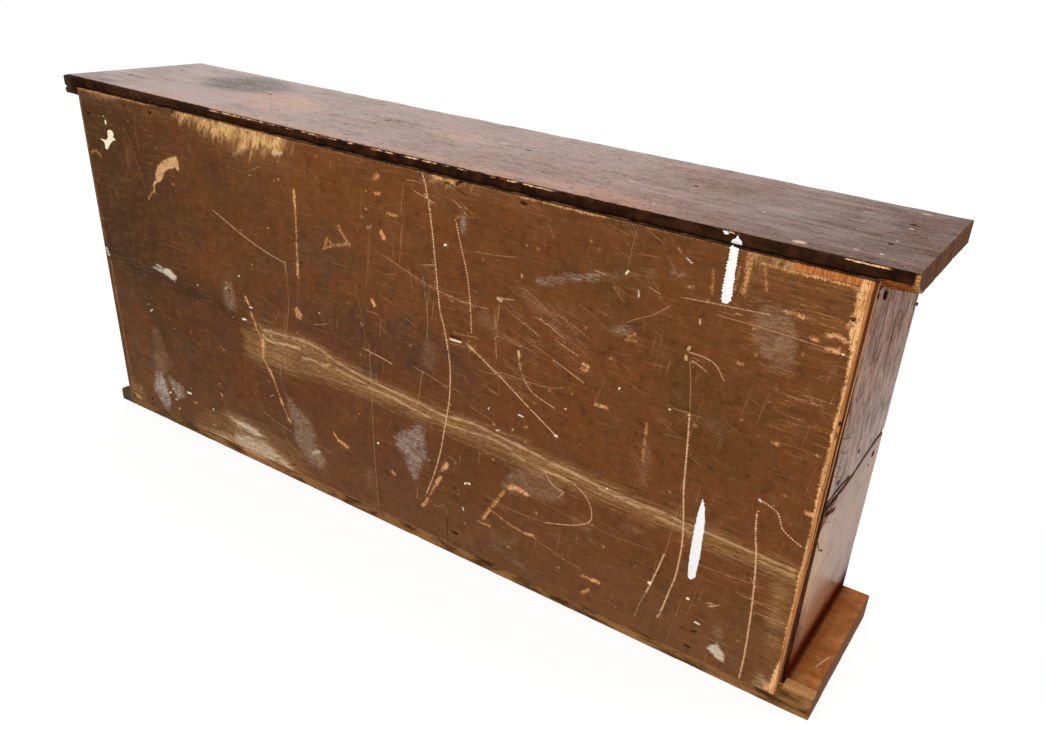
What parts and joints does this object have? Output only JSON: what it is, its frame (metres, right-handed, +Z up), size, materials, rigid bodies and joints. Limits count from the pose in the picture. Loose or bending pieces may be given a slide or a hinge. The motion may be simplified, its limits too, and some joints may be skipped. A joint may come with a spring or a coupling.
{
  "type": "pigeonhole cabinet",
  "caption": "Low, wide wooden pigeonhole cabinet, open at the front: overhanging top and base boards, a shelf crossed by dividers, and a nailed plywood back.",
  "frame": {"origin": "on the floor, under the middle of the overall box", "axes": "+X along the width, to the right as seen from the open front; +Y from the front to the plywood back; +Z up"},
  "size_m": [0.916, 0.178, 0.391],
  "materials": {
    "stained_top": "worn dark stain with a dull sheen",
    "stained_base": "worn brown stain, bare wood on its back edge",
    "stained_ends": "greyed brown stain, upright grain",
    "inner_boards": "plain brown stain, less worn than outside",
    "plywood_back": "dark brown finish, scratched down to pale veneer",
    "old_nails": "dull oxidised steel"
  },
  "bodies": {
    "root": {"top_board": "stained_top", "bottom_board": "stained_base", "left_end_board": "stained_ends", "right_end_board": "stained_ends", "middle_shelf": "inner_boards", "divider_1": "inner_boards", "divider_2": "inner_boards", "divider_3": "inner_boards", "divider_4": "inner_boards", "back_panel": "plywood_back", "top_nails_left": "old_nails", "top_nails_right": "old_nails", "bottom_nails_left": "old_nails", "bottom_nails_right": "old_nails", "shelf_nails_left": "old_nails", "shelf_nails_right": "old_nails", "divider_nails_top": "old_nails", "divider_nails_bottom": "old_nails", "back_tacks_top": "old_nails", "back_tacks_bottom": "old_nails", "back_tacks_left": "old_nails", "back_tacks_right": "old_nails", "back_tacks_dividers": "old_nails", "back_tacks_shelf": "old_nails", "stray_brad": "old_nails"}
  },
  "joints": []
}
